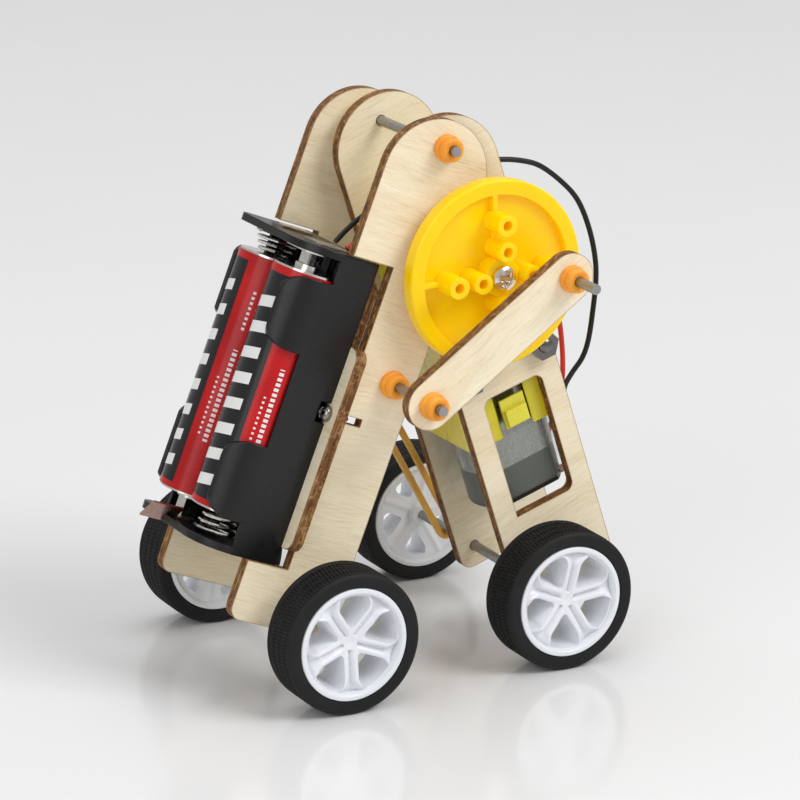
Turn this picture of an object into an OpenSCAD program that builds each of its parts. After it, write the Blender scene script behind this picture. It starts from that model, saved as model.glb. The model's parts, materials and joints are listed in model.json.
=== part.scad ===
// Walking four wheel chassis: two pairs of plywood legs hinged at the top, opened and closed by a crank.
// The wheels rest on z = 0. X runs from the battery legs to the motor legs, Y across the wheels, Z up.

/* [Legs] */
// Thickness of the plywood sheet
ply_t = 2.4; // [2:0.1:3]
// Width of a leg
leg_w = 23; // [22:0.5:25]
// Distance of the hinge hole above the centre of the round head
head_drop = 6.1; // [4:0.1:8]
// Distance of the foot edge below the hinge hole
leg_len = 99.3; // [98:0.1:102]
// Radius of the foot corners
foot_r = 2.5; // [1:0.5:4]
// Lean of the battery legs from upright
front_lean = 21; // [20:0.5:22]
// Lean of the motor legs from upright
rear_lean = -18.8; // [-20:0.2:-18]
// Outside width over the battery legs
outer_w = 33.6; // [33:0.1:35]
// Gap between a battery leg and the motor leg beside it on the near side
near_gap = 0.2; // [0.2:0.1:0.4]
// Gap between the far motor leg and the far battery leg
far_gap = 2.5; // [2.4:0.1:2.6]

/* [Hinge and wheels] */
// Height of the leg hinge above the floor
pivot_z = 106.7; // [106:0.1:107]
// Distance of the leg hinge from the middle of the footprint along X
pivot_x = 6.4; // [0:0.1:10]
// Distance of the leg frames from the middle of the footprint along Y
frame_y = 0.6; // [-2:0.1:2]
// Front axle, distance in X from the hinge
front_axle_dx = -26.8; // [-27:0.1:-26]
// Rear axle, distance in X from the hinge
rear_axle_dx = 23.5; // [23:0.1:24]
// Diameter of the steel rods
rod_d = 2; // [1.9:0.1:2]
// Tyre diameter
tyre_d = 28.8; // [28:0.1:29]
// Tyre width
tyre_w = 9.7; // [9:0.1:10]
// Rim flange diameter
rim_d = 22.8; // [22:0.1:24]

/* [Crank and link] */
// Distance of the crank shaft below the hinge along the motor legs
shaft_drop = 26.2; // [26:0.1:27]
// Crank radius, also that of the four outer posts
crank_r = 10.8; // [10:0.1:11]
// Radius of the four inner posts
inner_post_r = 5.5; // [5:0.1:6]
// Angle of the crank arm above level
crank_angle = 2.5; // [0:0.5:5]
// Diameter of the crank wheel
disc_d = 37.6; // [36:0.2:38]
// Width of the link bar
link_w = 10; // [9:0.1:10.5]
// Link rod place in the battery legs: across, and below the hinge
link_hole = [6.1, -46.9];

/* [Battery box] */
// Length of the battery box over its end plates
box_len = 61.9; // [60:0.1:62]
// Width of the battery box
box_w = 29.8; // [29.8:0.1:30]
// Cell radius
cell_r = 6.9; // [6.8:0.05:6.95]
// Cell length without its nub
cell_len = 49.5; // [49:0.1:49.6]

/* [Hidden] */
$fn = 64;

// Clearances: turning rod in a hole, and hair gap between separate sheets
run_gap = 0.08;
hair = 0.05;
rod_r = rod_d / 2;
hole_r = rod_r + run_gap;

// Y stations of the sheets, measured from the middle of the battery legs
near_out = -outer_w / 2;
near_out_in = near_out + ply_t;
near_in = near_out_in + near_gap;
near_in_in = near_in + ply_t;
far_out = outer_w / 2 - ply_t;
far_in = far_out - far_gap - ply_t;

// Wheels: near face of each tyre, and the axle height below the hinge
front_near_y = -32.4;
front_far_y = 26.1;
rear_near_y = -29.5;
rear_far_y = 31.4;
axle_dz = tyre_d / 2 - pivot_z;

// How far each axle end is set back from the tyre's outer face
axle_set = 3.4;

// Crank side stations along Y
disc_back = -19.5;
disc_front = -22.9;
disc_floor = -21.4;
post_tip = -27.6;
boss_tip = -25.2;
hub_back = -16.95;
link_front = -32.8;
pin_tip = -42.3;
link_rod_tip = -37.6;
collar_len = 3.3;
collar_r = 2.7;
post_r = 2.15;
post_bore_r = 1;

// Battery side, in battery leg axes: x across the leg, z along it
notch_top = -25.1;
notch_foot = -87.4;
notch_x = -2.2;
board_back = notch_x - 0.01;
board_face = board_back - ply_t;
slit_z = -56;
slit_h = 1.6;
screw_y = outer_w / 2 - ply_t / 2;
screw_r = 0.75;
screw_head = 1.7;
box_y = -0.7;
box_top = -25.5;
box_foot = box_top - box_len;
box_wall = 1.5;
side_wall = 0.8;
near_ear_angle = 62;
far_ear_angle = 50;
cell_x = -14.9;
cell_gap = 14.1;
near_cell_y = box_y - cell_gap / 2;
far_cell_y = box_y + cell_gap / 2;
near_cell_top = -31;
far_cell_top = -31.6;

// Motor, in motor leg axes
motor_y = near_in_in;
motor_t = 18.8;
motor_mid = motor_y + motor_t / 2;
case_w = 22.4;
case_wall = 1.5;
case_foot = -64.5;
cover_foot = -78;
can_top = -52;
can_foot = -71.7;
cap_foot = -79.7;
bolt_x = 8.75;
bolt_z = -47.9;
shaft_r = 2.7;
shaft_flat = 3.7;
shaft_tip = -20.8;

function leg_point(lean, p) = [
    p[0] * cos(lean) + p[1] * sin(lean),
    -p[0] * sin(lean) + p[1] * cos(lean)
];
shaft_at = leg_point(rear_lean, [0, -shaft_drop]);
link_low = leg_point(front_lean, link_hole);
link_high = shaft_at + crank_r * [cos(crank_angle), sin(crank_angle)];
link_span = link_high - link_low;
link_len = norm(link_span);
link_angle = atan2(link_span[1], link_span[0]);
front_axle_at = leg_point(-front_lean, [front_axle_dx, axle_dz]);
rear_axle_at = leg_point(-rear_lean, [rear_axle_dx, axle_dz]);

// ---- placing ----
module at_hinge() translate([pivot_x, frame_y, pivot_z]) children();
module front_leg_axes() at_hinge() rotate([0, front_lean, 0]) children();
module rear_leg_axes() at_hinge() rotate([0, rear_lean, 0]) children();

// Extrudes a shape drawn in the leg's x and z from y to y + t
module slab(y, t) translate([0, y + t, 0]) rotate([90, 0, 0]) linear_extrude(t) children();

// A rod or ring along Y from y0 to y1 at x, z
module along_y(x, z, y0, y1, r) translate([x, y1, z]) rotate([90, 0, 0]) cylinder(h = y1 - y0, r = r);

// Rectangle with round corners, from its low corner
module soft_rect(x, z, w, h, r) {
    translate([x + r, z]) square([w - 2 * r, h]);
    translate([x, z + r]) square([w, h - 2 * r]);
    for (i = [r, w - r], j = [r, h - r]) translate([x + i, z + j]) circle(r);
}

// ---- legs ----
module leg_outline() {
    half = leg_w / 2;
    translate([0, -head_drop]) circle(half);
    translate([-half, -leg_len + foot_r]) square([leg_w, leg_len - foot_r - head_drop]);
    soft_rect(-half, -leg_len, leg_w, 3 * foot_r, foot_r);
}

module front_leg_outline() {
    difference() {
        leg_outline();
        circle(rod_r);
        translate(link_hole) circle(rod_r);
        translate(front_axle_at) circle(hole_r);
        translate([-leg_w, notch_foot]) square([leg_w + notch_x, notch_top - notch_foot]);
        translate([notch_x - 1, slit_z - slit_h / 2]) square([5.7, slit_h]);
    }
}

module front_leg_near() {
    color("BlanchedAlmond") front_leg_axes() slab(near_out, ply_t) front_leg_outline();
}

module front_leg_far() {
    color("BlanchedAlmond") front_leg_axes() slab(far_out, ply_t) front_leg_outline();
}

module rear_leg_common() {
    difference() {
        leg_outline();
        for (p = [[0, 0], rear_axle_at]) translate(p) circle(hole_r);
        for (s = [-1, 1]) translate([s * bolt_x, bolt_z]) circle(1.5);
        translate([0, -shaft_drop]) circle(shaft_r + 0.6);
    }
}

module rear_leg_near() {
    color("BlanchedAlmond") rear_leg_axes() slab(near_in, ply_t) difference() {
        rear_leg_common();
        soft_rect(-6.7, -80.6, 13.8, 26.6, 1.8);
        translate([-6.7, -80.6]) square([3, 3]);
    }
}

module rear_leg_far() {
    color("BlanchedAlmond") rear_leg_axes() slab(far_in, ply_t) rear_leg_common();
}

// ---- battery side ----
module battery_board() {
    neck_w = outer_w - 2 * ply_t - 0.04;
    wing_w = outer_w + 4.4;
    color("BurlyWood") front_leg_axes() translate([board_back, 0, 0]) rotate([0, -90, 0])
        linear_extrude(ply_t) difference() {
            union() {
                translate([-60, -neck_w / 2]) square([29.5, neck_w]);
                soft_rect(-83.6, -wing_w / 2, 41.3, wing_w, 2.5);
            }
            for (s = [-1, 1]) translate([slit_z, s * screw_y]) circle(screw_r + hair);
        }
}

// Side wall outline: low over the middle of the cells, with a round ear near each end
module box_side_outline() {
    ear_r = 4;
    ear_top = -31.8;
    shoulder_x = -12.8;
    translate([cell_x, box_foot]) square([board_face - cell_x, ear_top - box_foot]);
    translate([shoulder_x, ear_top - 1]) square([board_face - shoulder_x, box_top - ear_top + 1]);
    soft_rect(cell_x - 6.9, -46.4, 10, 14.6, ear_r);
    soft_rect(cell_x - 6.9, -81, 10, 15.6, ear_r);
}

// Side wall on the side s: flat up to the cell's middle, then its ears wrap round the cell
module box_side(s, y) {
    wrap = box_w / 2 - abs(y - box_y);
    outer_y = box_y + s * box_w / 2;
    reach = s < 0 ? near_ear_angle : far_ear_angle;
    intersection() {
        union() {
            translate([cell_x, min(outer_y, outer_y - s * side_wall), box_foot])
                cube([board_face - cell_x, side_wall, box_len]);
            translate([cell_x, y, box_foot]) linear_extrude(box_len) intersection() {
                difference() {
                    circle(wrap);
                    circle(wrap - side_wall);
                }
                polygon([
                    [0.01, 0], [0.01, 20 * s], [-20, 20 * s],
                    20 * [-sin(reach), s * cos(reach)]
                ]);
            }
        }
        slab(-20, 40) box_side_outline();
    }
}

// End plate: its near corner is well rounded, its far corner sharp
module box_end() {
    reach = 16.5;
    near_r = 8.5;
    far_r = 2.5;
    near_y = box_y - box_w / 2;
    far_y = box_y + box_w / 2;
    tip = board_face - reach;
    translate([tip + near_r, near_y]) square([reach - near_r, box_w]);
    translate([tip, near_y + near_r]) square([reach, box_w - near_r - far_r]);
    translate([tip + near_r, near_y + near_r]) circle(near_r);
    translate([tip + far_r, far_y - far_r]) circle(far_r);
    translate([tip + far_r, far_y - far_r]) square([near_r, far_r]);
}

module battery_box() {
    base_x = board_face - box_wall;
    near_y = box_y - box_w / 2;
    cut = 2.1;
    color("DimGray") front_leg_axes() difference() {
        union() {
            translate([base_x, near_y + 0.1, box_foot + 0.1]) cube([box_wall, box_w - 0.2, box_len - 0.2]);
            for (z = [box_foot, box_top - box_wall]) translate([0, 0, z]) linear_extrude(box_wall) box_end();
            box_side(-1, near_cell_y);
            box_side(1, far_cell_y);
            translate([base_x - 0.8, box_y - 0.6, box_foot + 1]) cube([1.6, 1.2, box_len - 2]);
        }
        for (s = [-1, 1]) translate([board_face - screw_head - 0.6, s * screw_y, slit_z])
            rotate([0, 90, 0]) cylinder(h = 4, r = cut);
        tab_flap(hair);
    }
}

module board_screws() {
    color("Silver") front_leg_axes() for (s = [-1, 1])
        translate([board_face, s * screw_y, slit_z]) rotate([0, 90, 0]) {
            translate([0, 0, -screw_head]) cylinder(h = screw_head, r = 1.65);
            translate([0, 0, -screw_head]) cylinder(h = screw_head + 5, r = screw_r);
        }
}

// Cone spring: a wire that winds from a wide foot at z to a narrow top at z + h, or the other way up
module cone_spring(y, z, h, top_wide) {
    turns = 3.5;
    wire = 0.35;
    steps = 42;
    path = [for (i = [0 : steps]) let (
        u = i / steps,
        r = top_wide ? 3 + 1.6 * u : 4.6 - 1.6 * u
    ) [cell_x + r * cos(360 * turns * u), y + r * sin(360 * turns * u), z + wire + (h - 2 * wire) * u]];
    tube(path, wire, ref = [0, 0, 1]);
}

module cell_springs() {
    low = box_foot + box_wall + hair;
    high = box_top - box_wall - hair;
    color("Gainsboro") front_leg_axes() {
        cone_spring(near_cell_y, low, near_cell_top - cell_len - low - hair, false);
        cone_spring(far_cell_y, far_cell_top + hair, high - far_cell_top - hair, true);
    }
}

module cell_contacts() {
    plate = 0.4;
    high = box_top - box_wall - hair;
    low = box_foot + box_wall + hair;
    near_nub = near_cell_top + 1 + hair;
    far_nub = far_cell_top - cell_len - 1 - hair;
    color("Silver") front_leg_axes() {
        translate([cell_x - 4, near_cell_y - 4, high - plate]) cube([8, 8, plate]);
        translate([cell_x - 1.6, near_cell_y - 1.6, near_nub]) cube([3.2, 3.2, high - near_nub]);
        translate([cell_x - 4, far_cell_y - 4, low]) cube([8, 8, plate]);
        translate([cell_x - 1.6, far_cell_y - 1.6, low]) cube([3.2, 3.2, far_nub - low]);
        for (y = [near_cell_y, far_cell_y])
            translate([cell_x - 1.5, y - 2.5, box_top + hair]) cube([7, 5, plate]);
    }
}

// Contact strip: a foot inside the box and a flap bent over the edge of the lower end plate
module tab_flap(gap) {
    translate([-22.3, 2.2, -85.5]) rotate([-45, 0, 0])
        cube([6.9, 5.4, 0.4] + 2 * [gap, gap, gap], center = true);
}

module contact_tab() {
    color("RosyBrown") front_leg_axes() {
        tab_flap(0);
        translate([-19.5, 0.4, box_foot + box_wall + hair]) cube([4.5, 1.8, 0.4]);
    }
}

module cell_can(y, top, nub_up) {
    z = top - cell_len;
    color("Silver") front_leg_axes() translate([cell_x, y, z]) {
        cylinder(h = cell_len, r = cell_r - 0.3);
        translate([0, 0, nub_up ? cell_len - 0.01 : -1]) cylinder(h = 1.01, r = 2.7);
    }
}

module cell_sleeve(y, top) {
    z = top - cell_len;
    color("Crimson") front_leg_axes() translate([cell_x, y, z + 0.4]) difference() {
        cylinder(h = cell_len - 0.8, r = cell_r);
        translate([0, 0, -1]) cylinder(h = cell_len + 2, r = cell_r - 0.3);
    }
}

module near_cell_can() cell_can(near_cell_y, near_cell_top, true);
module near_cell_sleeve() cell_sleeve(near_cell_y, near_cell_top);
module far_cell_can() cell_can(far_cell_y, far_cell_top, false);
module far_cell_sleeve() cell_sleeve(far_cell_y, far_cell_top);

// ---- rods and collars ----
// A collar is a stepped rubber bush: its wide foot is at y, and it grows towards side -1 or 1
module collar(x, z, y, side) {
    step = 1.5;
    translate([x, y, z]) rotate([side > 0 ? -90 : 90, 0, 0]) difference() {
        union() {
            cylinder(h = step, r = collar_r);
            cylinder(h = collar_len, r = collar_r - 0.35);
        }
        translate([0, 0, -1]) cylinder(h = collar_len + 2, r = rod_r);
    }
}

module pivot_rod() {
    color("DarkGray") at_hinge() along_y(0, 0, near_out - collar_len - 1, -near_out + collar_len + 1, rod_r);
}

module pivot_collars() {
    color("Orange") at_hinge() {
        collar(0, 0, near_out, -1);
        collar(0, 0, -near_out, 1);
    }
}

module link_rod() {
    color("DarkGray") at_hinge()
        along_y(link_low[0], link_low[1], link_rod_tip, -near_out + collar_len + 1, rod_r);
}

module link_rod_collars() {
    color("Orange") at_hinge() {
        collar(link_low[0], link_low[1], near_out, -1);
        collar(link_low[0], link_low[1], -near_out, 1);
        collar(link_low[0], link_low[1], link_front - hair, -1);
        collar(link_low[0], link_low[1], link_front + ply_t + hair, 1);
    }
}

// ---- motor ----
module case_outline(inset) {
    half = case_w / 2 - inset;
    translate([0, -shaft_drop]) circle(half);
    translate([-half, case_foot]) square([2 * half, -shaft_drop - case_foot]);
}

module motor_holes(r) {
    for (s = [-1, 1]) translate([s * bolt_x, bolt_z]) circle(r);
    translate([0, -shaft_drop]) circle(shaft_r + run_gap);
}

module case_half(y, open_y) {
    difference() {
        slab(y, motor_t / 2 - hair) case_outline(0);
        slab(open_y, motor_t / 2 - case_wall) difference() {
            case_outline(case_wall);
            for (s = [-1, 1]) translate([s * bolt_x, bolt_z]) circle(2.8);
        }
        slab(motor_y - 1, motor_t + 2) motor_holes(1.5);
        translate([0, motor_mid, can_foot]) cylinder(h = can_top - can_foot + 0.3, r = 10.05);
    }
}

module gearbox_near() {
    color("Gold") rear_leg_axes() case_half(motor_y, motor_y + case_wall);
}

module gearbox_far() {
    color("Gold") rear_leg_axes() case_half(motor_mid + hair, motor_mid);
}

module gearbox_latch() {
    color("Yellow") rear_leg_axes() {
        translate([-2.2, motor_y - 1.5, -62.4]) cube([4.8, 1.5, 3.6]);
        translate([-2.6, motor_y - 0.5, -63]) cube([5.6, 0.5, 6.4]);
    }
}

module gearbox_screws() {
    color("Silver") rear_leg_axes() for (p = [[-7.5, -24], [7.5, -24], [0, -40]])
        along_y(p[0], p[1], motor_y + motor_t, motor_y + motor_t + 1.4, 2.2);
}

module motor_can() {
    color("Gray") rear_leg_axes() translate([0, motor_mid, can_foot]) intersection() {
        cylinder(h = can_top - can_foot, r = 10);
        translate([-11, -7.7, -1]) cube([22, 15.4, can_top - can_foot + 2]);
    }
}

module motor_end_cap() {
    color("DarkSlateGray") rear_leg_axes() translate([0, motor_mid, cap_foot]) {
        intersection() {
            cylinder(h = can_foot - cap_foot, r = 9.8);
            translate([-11, -7.5, -1]) cube([22, 15, can_foot - cap_foot + 2]);
        }
        translate([0, 0, -1.4]) cylinder(h = 1.5, r = 3);
    }
}

module motor_cover() {
    t = 0.6;
    color("LightGray", 0.5) rear_leg_axes() difference() {
        translate([-10.8, motor_y + 0.4, cover_foot]) cube([21.6, motor_t - 0.8, case_foot - cover_foot]);
        translate([-10.8 + t, motor_y + 0.4 + t, cover_foot - 1])
            cube([21.6 - 2 * t, motor_t - 0.8 - 2 * t, case_foot - cover_foot + 2]);
    }
}

module motor_terminals() {
    color("Goldenrod") rear_leg_axes() for (y = [motor_mid - 5.8, motor_mid + 5.8])
        translate([7.6, y - 1.2, -78.9]) cube([5.2, 2.4, 0.5]);
}

module motor_bolts() {
    color("Silver") rear_leg_axes() for (s = [-1, 1]) {
        along_y(s * bolt_x, bolt_z, near_in - 3.4, far_in + ply_t + 0.1, 1.5);
        along_y(s * bolt_x, bolt_z, far_in + ply_t, far_in + ply_t + 2, 2.8);
    }
}

module motor_nuts() {
    color("Silver") rear_leg_axes() for (s = [-1, 1])
        translate([s * bolt_x, near_in, bolt_z]) rotate([90, 0, 0]) difference() {
            cylinder(h = 2.4, r = 3.17, $fn = 6);
            translate([0, 0, -1]) cylinder(h = 5, r = 1.5);
        }
}

// ---- crank wheel, turning about the shaft axis ----
module shaft_axes() at_hinge()
    translate([shaft_at[0], 0, shaft_at[1]]) rotate([0, -crank_angle, 0]) children();

module crank_disc() {
    color("Gold") shaft_axes() difference() {
        union() {
            rotate([90, 0, 0]) rotate_extrude($fn = 96) polygon([
                [0, -disc_back], [disc_d / 2 - 0.3, -disc_back], [disc_d / 2, -disc_back + 0.3],
                [disc_d / 2, -disc_front - 0.3], [disc_d / 2 - 0.3, -disc_front],
                [disc_d / 2 - 2.9, -disc_front], [disc_d / 2 - 3, -disc_floor], [0, -disc_floor]
            ]);
            for (a = [0 : 90 : 270]) rotate([0, a, 0]) {
                along_y(crank_r, 0, post_tip, disc_back - 1, post_r);
                along_y(inner_post_r, 0, post_tip, disc_back - 1, post_r - 0.15);
                translate([3, disc_front, -0.5]) cube([disc_d / 2 - 5, 2, 1]);
            }
            along_y(0, 0, boss_tip, hub_back, 3.8);
        }
        for (a = [0 : 90 : 270], r = [crank_r, inner_post_r]) rotate([0, a, 0])
            along_y(r, 0, post_tip - 1, disc_floor, post_bore_r);
        flat_shaft(shaft_tip - 0.1, hub_back + 1, hair);
        along_y(0, 0, boss_tip - 1, shaft_tip, 1.2);
    }
}

module disc_screw() {
    color("Silver") shaft_axes() {
        along_y(0, 0, boss_tip - 0.7, boss_tip, 2.5);
        intersection() {
            along_y(0, 0, boss_tip - 1.8, boss_tip - 0.6, 2.5);
            translate([0, boss_tip + 1.2, 0]) sphere(r = 3);
        }
        along_y(0, 0, boss_tip - 0.5, shaft_tip - 0.15, 1.2);
    }
}

// Section of the shaft end with its two flats, grown by a gap
module flat_shaft(y0, y1, gap) {
    intersection() {
        along_y(0, 0, y0, y1, shaft_r + gap);
        translate([-shaft_r - 1, y0 - 1, -shaft_flat / 2 - gap])
            cube([2 * shaft_r + 2, y1 - y0 + 2, shaft_flat + 2 * gap]);
    }
}

module output_shaft() {
    color("WhiteSmoke") shaft_axes() {
        flat_shaft(shaft_tip, near_in - 1, 0);
        along_y(0, 0, near_in - 1.01, motor_y + motor_t - case_wall, shaft_r);
    }
}

module output_gear() {
    color("WhiteSmoke") shaft_axes() difference() {
        union() {
            along_y(0, 0, motor_mid - 1, motor_mid + 3, 8.6);
            for (a = [0 : 12 : 348]) rotate([0, a, 0])
                translate([8.3, motor_mid - 1, -0.4]) cube([1, 4, 0.8]);
        }
        along_y(0, 0, motor_mid - 2, motor_mid + 4, shaft_r);
    }
}

// ---- link ----
module link_bar() {
    color("BlanchedAlmond") at_hinge() translate([link_low[0], 0, link_low[1]]) rotate([0, -link_angle, 0])
        slab(link_front, ply_t) difference() {
            union() {
                translate([0, -link_w / 2]) square([link_len, link_w]);
                for (x = [0, link_len]) translate([x, 0]) circle(link_w / 2);
            }
            circle(hole_r);
            translate([link_len, 0]) circle(rod_r);
        }
}

module crank_pin() {
    color("DarkGray") at_hinge() along_y(link_high[0], link_high[1], pin_tip, post_tip - 0.1, rod_r);
}

module crank_pin_collars() {
    color("Orange") at_hinge() {
        collar(link_high[0], link_high[1], link_front, -1);
        translate([link_high[0], link_front + ply_t, link_high[1]]) rotate([-90, 0, 0]) difference() {
            cylinder(h = post_tip - 0.1 - link_front - ply_t, r = collar_r);
            translate([0, 0, -1]) cylinder(h = 5, r = rod_r);
        }
    }
}

// ---- wheels ----
module wheel_axes(dx) at_hinge() translate([dx, 0, axle_dz]) children();

module axle(dx, y0, y1) {
    color("DarkGray") wheel_axes(dx) along_y(0, 0, y0, y1, rod_r);
}

// Tyre standing with its near face at y
module tyre(y) {
    r = tyre_d / 2;
    inner = rim_d / 2;
    shoulder = 0.8;
    color("DimGray") translate([0, y + tyre_w, 0]) rotate([90, 0, 0]) rotate_extrude($fn = 96) difference() {
        soft_rect(inner - 1, 0, r - inner + 1, tyre_w, shoulder);
        translate([inner - 2, -1]) square([2, tyre_w + 2]);
    }
}

// Rim: face at its outer side, dish and hub behind it; face_side is -1 for a face towards -Y
module rim(y, turn, face_side) {
    r = rim_d / 2;
    mid = y + tyre_w / 2;
    color("White") translate([0, mid, 0]) rotate([face_side < 0 ? 90 : -90, 0, 0]) rotate([0, 0, turn])
        translate([0, 0, -tyre_w / 2]) difference() {
            union() {
                difference() {
                    cylinder(h = tyre_w, r = r, $fn = 96);
                    translate([0, 0, -1]) cylinder(h = tyre_w - 2.4, r = r - 1.2, $fn = 96);
                    translate([0, 0, tyre_w - 0.9]) cylinder(h = 1, r = r - 1, $fn = 96);
                }
                translate([0, 0, 0.6]) cylinder(h = tyre_w - 1.6, r = 2.6);
                for (a = [0 : 72 : 288]) rotate([0, 0, a]) {
                    translate([1.5, 0.35, tyre_w - 2]) cube([r - 2.2, 0.8, 1.8]);
                    translate([1.5, -1.15, tyre_w - 2]) cube([r - 2.2, 0.8, 1.8]);
                }
            }
            for (a = [36 : 72 : 324]) rotate([0, 0, a]) translate([0, 0, tyre_w - 8]) linear_extrude(8.01)
                polygon([[4, 0], [6.2, 2.6], [9, 2.8], [9.8, 0], [9, -2.8], [6.2, -2.6]]);
            translate([0, 0, -1]) cylinder(h = tyre_w + 0.2, r = rod_r);
        }
}

module front_axle() axle(front_axle_dx, front_near_y + axle_set, front_far_y + tyre_w - axle_set);
module front_rim_near() wheel_axes(front_axle_dx) rim(front_near_y, 53, -1);
module front_rim_far() wheel_axes(front_axle_dx) rim(front_far_y, 40, 1);
module front_tyre_near() wheel_axes(front_axle_dx) tyre(front_near_y);
module front_tyre_far() wheel_axes(front_axle_dx) tyre(front_far_y);
module rear_axle() axle(rear_axle_dx, rear_near_y + axle_set, rear_far_y + tyre_w - axle_set);
module rear_rim_near() wheel_axes(rear_axle_dx) rim(rear_near_y, 11, -1);
module rear_rim_far() wheel_axes(rear_axle_dx) rim(rear_far_y, 10, 1);
module rear_tyre_near() wheel_axes(rear_axle_dx) tyre(rear_near_y);
module rear_tyre_far() wheel_axes(rear_axle_dx) tyre(rear_far_y);

// ---- wires and rubber band: tubes along points given from the hinge ----
wire_r = 0.55;
band_r = 0.7;
black_path = [
    [-18.6, -7, -18.9], [-15.8, -6, -17.2], [-12, -5, -15.2], [-4, -5, -10.8], [4.5, -5, -8.2],
    [11.5, -5, -7], [18.4, -5, -6.7], [23.8, -5, -7.4], [28.4, -5, -9], [33.5, -5, -12.8],
    [37.2, -5, -16.8], [39.9, -5, -22.4], [41.6, -5, -28.5], [42.1, -5, -33.9], [41.5, -5, -41.1],
    [40.7, -5, -46.5], [39.4, -5, -50], [37, -5, -53], [35, -5.6, -55.6], [34.6, -6.6, -59],
    [35.1, -7.8, -63.8], [35.7, -8.2, -69.8]
];
red_path = [
    [-16.9, -8.5, -20.2], [-13.5, -8.5, -18.4], [-8, -8.8, -14.4], [0, -8.8, -10.4], [9, -8.8, -8.8],
    [17, -8.6, -10.5], [24, -7.5, -18], [29.5, -6, -29], [33.2, -5, -39], [35.2, -4.2, -49],
    [35.8, -3, -57], [36.2, 0, -63], [35.8, 3.2, -69.8]
];

function unit(v) = v / norm(v);
function along(p, i, closed) = let (n = len(p))
    closed ? unit(p[(i + 1) % n] - p[(i + n - 1) % n])
           : unit(p[min(i + 1, n - 1)] - p[max(i - 1, 0)]);
function ring(p, i, r, sides, closed, ref) = let (
    t = along(p, i, closed),
    u = unit(cross(t, ref)),
    v = cross(t, u)
) [for (k = [0 : sides - 1]) p[i] + r * (cos(360 * k / sides) * u + sin(360 * k / sides) * v)];

module tube(p, r, sides = 8, closed = false, ref = [0, 1, 0]) {
    n = len(p);
    points = [for (i = [0 : n - 1]) each ring(p, i, r, sides, closed, ref)];
    spans = closed ? n : n - 1;
    skin = [for (i = [0 : spans - 1], k = [0 : sides - 1]) let (j = (i + 1) % n, m = (k + 1) % sides)
        [i * sides + k, j * sides + k, j * sides + m, i * sides + m]];
    ends = closed ? [] : [
        [for (k = [0 : sides - 1]) k],
        [for (k = [sides - 1 : -1 : 0]) (n - 1) * sides + k]
    ];
    polyhedron(points, concat(skin, ends), convexity = 6);
}

module black_wire() {
    color("DimGray") at_hinge() tube(black_path, wire_r);
}

module red_wire() {
    color("Red") at_hinge() tube(red_path, wire_r);
}

// The band loops round the link rod and the rear axle, crossing from the middle to the far side
band_top = [link_low[0], -2.6, link_low[1]];
band_foot = [rear_axle_dx, 21.8, axle_dz];
band_turn = atan2(band_foot[2] - band_top[2], band_foot[0] - band_top[0]);
band_bend = rod_r + band_r + 0.3;
function bend(c, a) = c + band_bend * [cos(a), 0, sin(a)];

module rubber_band() {
    loop = concat(
        [for (a = [90 : 30 : 270]) bend(band_top, band_turn + a)],
        [for (a = [-90 : 30 : 90]) bend(band_foot, band_turn + a)]
    );
    color("Goldenrod") at_hinge() tube(loop, band_r, closed = true);
}

front_leg_near();
front_leg_far();
battery_board();
battery_box();
board_screws();
cell_springs();
cell_contacts();
contact_tab();
near_cell_can();
near_cell_sleeve();
far_cell_can();
far_cell_sleeve();
pivot_rod();
pivot_collars();
link_rod();
link_rod_collars();
rear_leg_near();
rear_leg_far();
gearbox_near();
gearbox_far();
gearbox_latch();
gearbox_screws();
motor_can();
motor_end_cap();
motor_cover();
motor_terminals();
motor_bolts();
motor_nuts();
crank_disc();
disc_screw();
output_shaft();
output_gear();
link_bar();
crank_pin();
crank_pin_collars();
front_axle();
front_rim_near();
front_rim_far();
front_tyre_near();
front_tyre_far();
rear_axle();
rear_rim_near();
rear_rim_far();
rear_tyre_near();
rear_tyre_far();
black_wire();
red_wire();
rubber_band();
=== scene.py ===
"""Walking four wheel chassis: camera, light, materials and fine detail on the CAD frame."""

import json
import math

import bmesh
import bpy
from mathutils import Matrix, Vector
from mathutils.geometry import delaunay_2d_cdt


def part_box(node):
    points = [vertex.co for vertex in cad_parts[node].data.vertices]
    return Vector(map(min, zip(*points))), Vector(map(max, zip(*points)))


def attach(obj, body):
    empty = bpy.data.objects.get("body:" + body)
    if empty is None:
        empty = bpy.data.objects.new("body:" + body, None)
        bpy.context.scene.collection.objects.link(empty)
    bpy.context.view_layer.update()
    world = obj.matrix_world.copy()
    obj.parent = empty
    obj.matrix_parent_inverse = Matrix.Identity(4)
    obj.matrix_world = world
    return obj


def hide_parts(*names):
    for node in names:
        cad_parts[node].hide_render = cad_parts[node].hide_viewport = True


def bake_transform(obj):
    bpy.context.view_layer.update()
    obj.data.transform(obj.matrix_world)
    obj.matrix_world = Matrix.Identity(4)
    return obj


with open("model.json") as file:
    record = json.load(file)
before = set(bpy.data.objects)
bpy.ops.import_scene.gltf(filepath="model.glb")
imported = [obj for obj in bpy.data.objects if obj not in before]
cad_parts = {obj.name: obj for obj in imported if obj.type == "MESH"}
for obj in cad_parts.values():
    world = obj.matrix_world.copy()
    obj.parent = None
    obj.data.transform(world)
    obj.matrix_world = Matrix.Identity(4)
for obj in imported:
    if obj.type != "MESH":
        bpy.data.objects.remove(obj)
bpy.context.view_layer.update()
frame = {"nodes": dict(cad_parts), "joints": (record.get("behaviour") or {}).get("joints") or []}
MM = 0.001
JOINTS = {joint["name"]: joint for joint in frame["joints"]}
PIVOT = Vector(JOINTS["leg_pivot"]["pos_m"])
CRANK = Vector(JOINTS["crank_spin"]["pos_m"])
LINK_LOW = Vector(JOINTS["link_swing"]["pos_m"])
CRANK_THROW = 10.8 * MM
CRANK_ANGLE = math.radians(2.5)
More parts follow.
